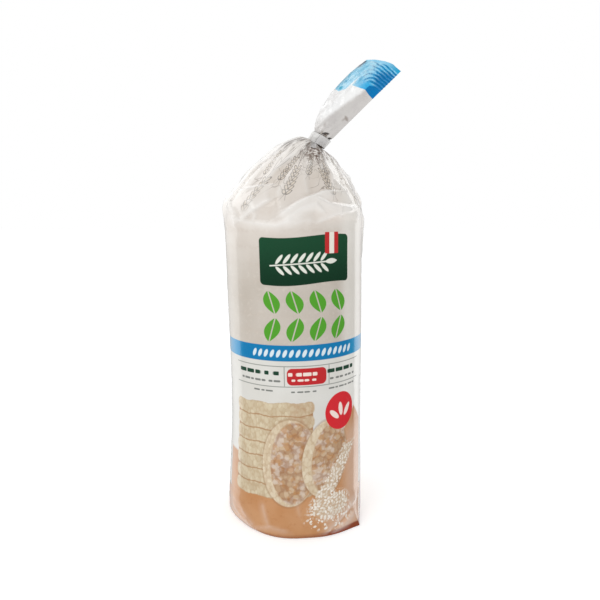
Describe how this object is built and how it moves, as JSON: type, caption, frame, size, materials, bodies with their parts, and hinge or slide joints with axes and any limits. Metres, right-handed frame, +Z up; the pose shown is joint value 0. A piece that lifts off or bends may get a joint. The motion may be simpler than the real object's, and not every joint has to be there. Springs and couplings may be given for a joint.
{
  "type": "pack of puffed rice cakes",
  "caption": "Tall round film pack holding a stack of flat grain cakes, drawn in to a taped neck with a leaning tail",
  "frame": {"origin": "the middle of the flat base the pack stands on", "axes": "+Z up along the stack, the printed front faces -Y, the tail leans towards +X"},
  "size_m": [0.1157, 0.0932, 0.3015],
  "materials": {
    "printed_film": "milky printed film, satin, with soft creases",
    "tape": "thin white sticky tape, slightly see-through over the folds"
  },
  "bodies": {
    "root": {"film_pack": "printed_film", "neck_tape": "tape"}
  },
  "joints": []
}
